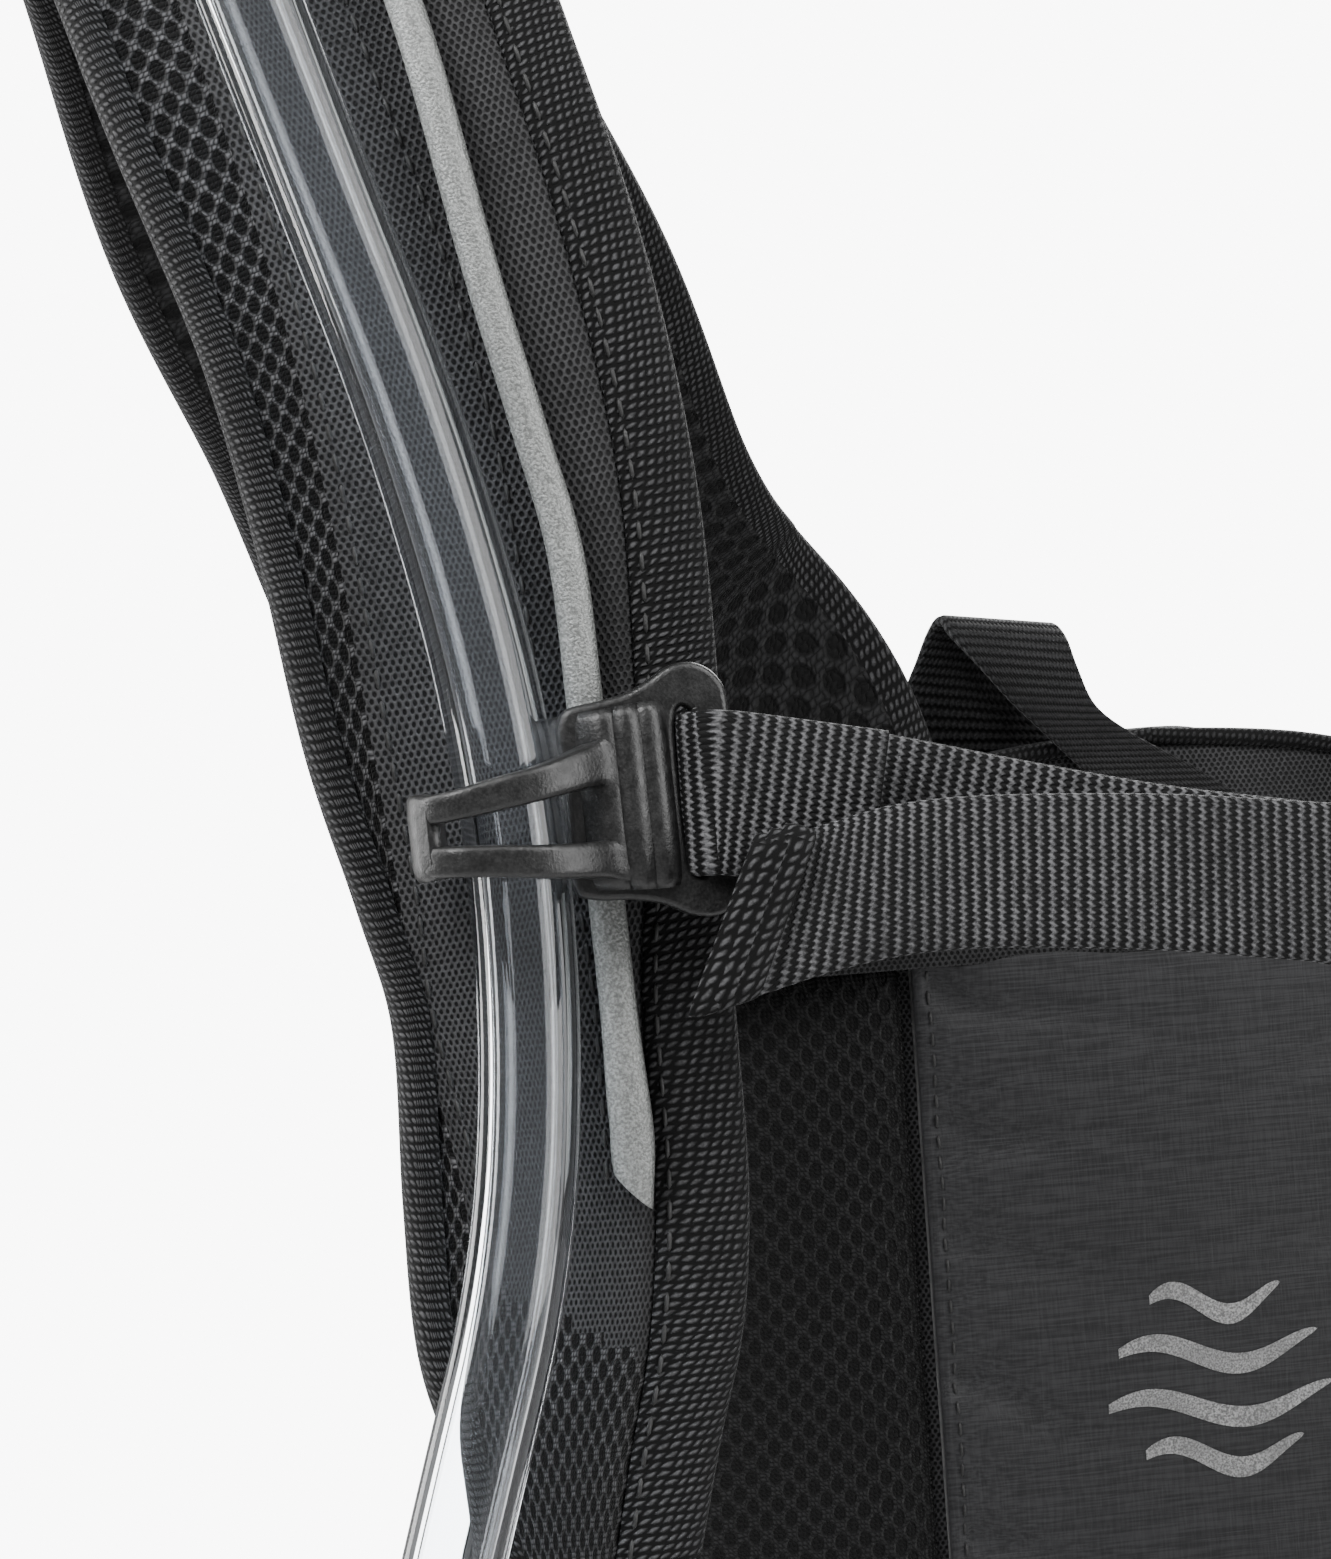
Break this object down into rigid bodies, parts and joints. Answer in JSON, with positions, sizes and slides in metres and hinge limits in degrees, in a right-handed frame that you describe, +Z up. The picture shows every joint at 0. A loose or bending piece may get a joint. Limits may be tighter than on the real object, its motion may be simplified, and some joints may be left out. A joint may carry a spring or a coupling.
{
  "type": "hydration pack",
  "caption": "Slim hydration backpack with arched shoulder straps, a clip-on sternum strap, reflective rails and a clear drink hose to a bite valve.",
  "frame": {"origin": "under the crown of the haul loop, where a hook bears", "axes": "+Z up, +X to the wearer's left, -Y towards the wearer"},
  "size_m": [0.305, 0.2395, 0.5563],
  "materials": {
    "air_mesh": "matte",
    "back_ripstop": "matte",
    "foam": "matte",
    "oxford_fabric": "matte",
    "zip_tape": "matte",
    "zip_metal": "satin",
    "rubber": "matte",
    "reservoir_film": "gloss",
    "blue_plastic": "satin",
    "black_plastic": "matte",
    "webbing": "matte",
    "strap_fabric": "matte",
    "binding": "matte",
    "reflective_tape": "satin",
    "clear_hose": "gloss",
    "silicone": "satin"
  },
  "bodies": {
    "pack": {"back_mesh_pad_right": "air_mesh", "back_mesh_pad_left": "air_mesh", "back_centre_panel": "back_ripstop", "back_foam": "foam", "yoke_panel": "oxford_fabric", "top_gusset": "oxford_fabric", "side_gusset_right": "oxford_fabric", "side_gusset_left": "oxford_fabric", "bottom_gusset": "oxford_fabric", "front_panel": "oxford_fabric", "front_pocket": "oxford_fabric", "reservoir_sleeve": "oxford_fabric", "anchor_tabs": "oxford_fabric", "main_zip_chain": "zip_tape", "pocket_zip_chain": "zip_tape", "hose_port": "rubber", "hose_keepers": "rubber", "reservoir_bag": "reservoir_film", "reservoir_neck": "blue_plastic", "reservoir_outlet": "blue_plastic", "hanger_hook": "black_plastic", "connector_body": "black_plastic", "valve_body": "black_plastic", "hanger_loop": "webbing", "haul_loop": "webbing", "lock_loops": "webbing", "lower_webbings": "webbing", "shoulder_strap_right": "strap_fabric", "shoulder_strap_left": "strap_fabric", "inner_bindings": "binding", "outer_bindings": "binding", "rail_right": "reflective_tape", "rail_left": "reflective_tape", "hose": "clear_hose", "inner_hose": "clear_hose", "mouthpiece": "silicone"},
    "clip_right": {"sternum_clip_right": "black_plastic", "sternum_webbing_right": "webbing", "sternum_tail": "webbing", "buckle_bar_half": "black_plastic"},
    "prong_upper": {"buckle_prong_upper": "black_plastic"},
    "prong_lower": {"buckle_prong_lower": "black_plastic"},
    "clip_left": {"sternum_clip_left": "black_plastic", "sternum_webbing_left": "webbing", "buckle_socket_half": "black_plastic"},
    "slider_right": {"main_slider_right": "zip_metal"},
    "pull_right": {"main_pull_right": "rubber"},
    "slider_left": {"main_slider_left": "zip_metal"},
    "pull_left": {"main_pull_left": "rubber"},
    "slider_pocket": {"pocket_slider": "zip_metal"},
    "pull_pocket": {"pocket_pull": "rubber"},
    "fill_cap": {"reservoir_cap": "blue_plastic"},
    "button": {"connector_button": "blue_plastic"},
    "lock_right": {"ladder_lock_right": "black_plastic", "adjuster_webbing_right": "webbing"},
    "lock_left": {"ladder_lock_left": "black_plastic", "adjuster_webbing_left": "webbing"},
    "lever": {"valve_lever": "black_plastic"}
  },
  "joints": [
    {"name": "sternum_height_right", "type": "slide", "parent": "pack", "child": "clip_right", "axis": [-0.04, 0, 0.9992], "range_m": [-0.012, 0.012]},
    {"name": "sternum_height_left", "type": "slide", "parent": "pack", "child": "clip_left", "axis": [0.04, 0, 0.9992], "range_m": [-0.012, 0.012]},
    {"name": "prong_press_upper", "type": "hinge", "parent": "clip_right", "child": "prong_upper", "pos_m": [-0.0046, -0.1443, -0.0299], "axis": [0, 1, 0], "range_deg": [0, 5], "stiffness_Nm_per_rad": 0.06},
    {"name": "prong_press_lower", "type": "hinge", "parent": "clip_right", "child": "prong_lower", "pos_m": [-0.0046, -0.1443, -0.0381], "axis": [0, 1, 0], "range_deg": [-5, 0], "stiffness_Nm_per_rad": 0.06},
    {"name": "zip_slider_right", "type": "hinge", "parent": "pack", "child": "slider_right", "pos_m": [0, 0.05743, -0.136], "axis": [0, 0.9981, 0.0618], "range_deg": [-66, 0]},
    {"name": "zip_slider_left", "type": "hinge", "parent": "pack", "child": "slider_left", "pos_m": [0, 0.05743, -0.136], "axis": [0, 0.9981, 0.0618], "range_deg": [0, 66]},
    {"name": "zip_pull_right", "type": "hinge", "parent": "slider_right", "child": "pull_right", "pos_m": [-0.00704, 0.05892, -0.05806], "axis": [-0.0698, -0.0616, 0.9957], "range_deg": [-85, 0]},
    {"name": "zip_pull_left", "type": "hinge", "parent": "slider_left", "child": "pull_left", "pos_m": [0.00704, 0.05892, -0.05806], "axis": [0.0698, -0.0616, 0.9957], "range_deg": [0, 85]},
    {"name": "pocket_slider", "type": "slide", "parent": "pack", "child": "slider_pocket", "axis": [1, 0, 0], "range_m": [0, 0.122]},
    {"name": "pocket_pull", "type": "hinge", "parent": "slider_pocket", "child": "pull_pocket", "pos_m": [-0.0604, 0.0687, -0.1987], "axis": [0, 1, 0], "range_deg": [-85, 0]},
    {"name": "fill_cap", "type": "hinge", "parent": "pack", "child": "fill_cap", "pos_m": [0, 0.0379, -0.182], "axis": [0, 1, 0], "range_deg": [0, 90]},
    {"name": "hose_button", "type": "slide", "parent": "pack", "child": "button", "axis": [0, -1, 0], "range_m": [0, 0.0009], "stiffness_N_per_m": 900},
    {"name": "ladder_lock_right", "type": "hinge", "parent": "pack", "child": "lock_right", "pos_m": [-0.1016, -0.13, -0.099], "axis": [1, 0, 0], "range_deg": [-20, 0]},
    {"name": "ladder_lock_left", "type": "hinge", "parent": "pack", "child": "lock_left", "pos_m": [0.1016, -0.13, -0.099], "axis": [1, 0, 0], "range_deg": [-20, 0]},
    {"name": "bite_valve_lever", "type": "hinge", "parent": "pack", "child": "lever", "pos_m": [-0.1225, -0.1497, -0.158], "axis": [0, 1, 0], "range_deg": [0, 90]}
  ],
  "couplings": [
    {"joint": "sternum_height_left", "follows": "sternum_height_right", "ratio": 1},
    {"joint": "prong_press_lower", "follows": "prong_press_upper", "ratio": -1}
  ]
}
